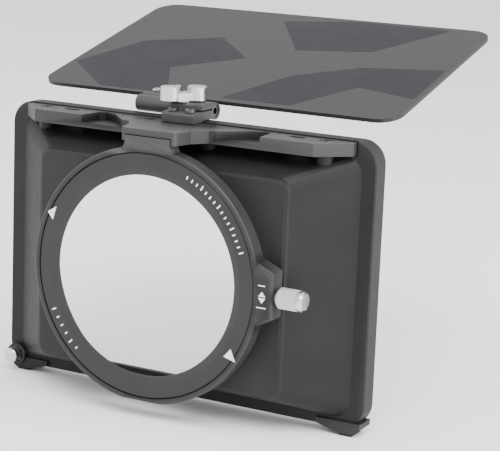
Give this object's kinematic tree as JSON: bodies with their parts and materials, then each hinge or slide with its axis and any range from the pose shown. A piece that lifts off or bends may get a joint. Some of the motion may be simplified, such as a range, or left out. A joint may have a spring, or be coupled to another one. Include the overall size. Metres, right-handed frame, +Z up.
{
  "type": "lens hood",
  "caption": "Clamp-on rectangular lens hood with filter tray, clamp ring and adapter ring for a lens rim, top bracket and a tilting carbon sun flag.",
  "frame": {"origin": "centre of the bounding box in plan, on the underside of the foot pads", "axes": "+X across the hood towards the lock knob, +Y forward along the lens axis, away from the camera, +Z up"},
  "size_m": [0.1626, 0.1432, 0.1454],
  "materials": {
    "shell_plastic": "fine moulded texture",
    "tray_plastic": "smooth matt",
    "black_alu": "black anodised, bead blasted",
    "silver_alu": "clear anodised",
    "steel": "blackened screw steel",
    "bright_steel": "bright",
    "carbon": "woven carbon fibre laminate, satin",
    "rubber": "matt",
    "brass": "machined"
  },
  "bodies": {
    "hood": {"hood_shell": "shell_plastic", "foot_pad_l": "rubber", "foot_pad_r": "rubber", "pin_bushing": "brass", "lock_shoe": "brass", "wing_washer": "bright_steel", "top_bracket": "black_alu", "bracket_screw_1": "steel", "bracket_screw_2": "steel", "bracket_screw_3": "steel", "bracket_screw_4": "steel", "clamp_ring": "black_alu", "tongue_screw_l": "steel", "tongue_screw_r": "steel", "flag_clamp": "black_alu", "clamp_screw_1": "steel", "clamp_screw_2": "steel"},
    "tray": {"filter_tray": "tray_plastic"},
    "pin": {"lock_pin": "silver_alu"},
    "adapter": {"adapter_ring": "black_alu"},
    "lock": {"lock_knob": "silver_alu", "lock_screw": "bright_steel"},
    "wing": {"wing_handle": "silver_alu", "wing_stud": "bright_steel"},
    "flag": {"flag_plate": "carbon", "flag_bracket": "black_alu", "flag_rod": "steel", "flag_screw_1": "bright_steel", "flag_screw_2": "bright_steel", "flag_screw_3": "bright_steel"}
  },
  "joints": [
    {"name": "flag_tilt", "type": "hinge", "parent": "hood", "child": "flag", "pos_m": [0, -0.03172, 0.1158], "axis": [1, 0, 0], "range_deg": [-105, 40]},
    {"name": "wing_turn", "type": "hinge", "parent": "hood", "child": "wing", "pos_m": [-0.0034, -0.03972, 0.12], "axis": [0, 0, 1], "range_deg": [0, 360]},
    {"name": "lock_turn", "type": "hinge", "parent": "hood", "child": "lock", "pos_m": [0.06, -0.06762, 0.0561], "axis": [1, 0, 0], "range_deg": [0, 720]},
    {"name": "adapter_turn", "type": "hinge", "parent": "hood", "child": "adapter", "pos_m": [0, -0.06882, 0.0561], "axis": [0, 1, 0], "continuous": true},
    {"name": "tray_slide", "type": "slide", "parent": "hood", "child": "tray", "axis": [-1, 0, 0], "range_m": [0, 0.12]},
    {"name": "pin_pull", "type": "slide", "parent": "hood", "child": "pin", "axis": [0, -1, 0], "range_m": [0, 0.0025], "stiffness_N_per_m": 200}
  ]
}
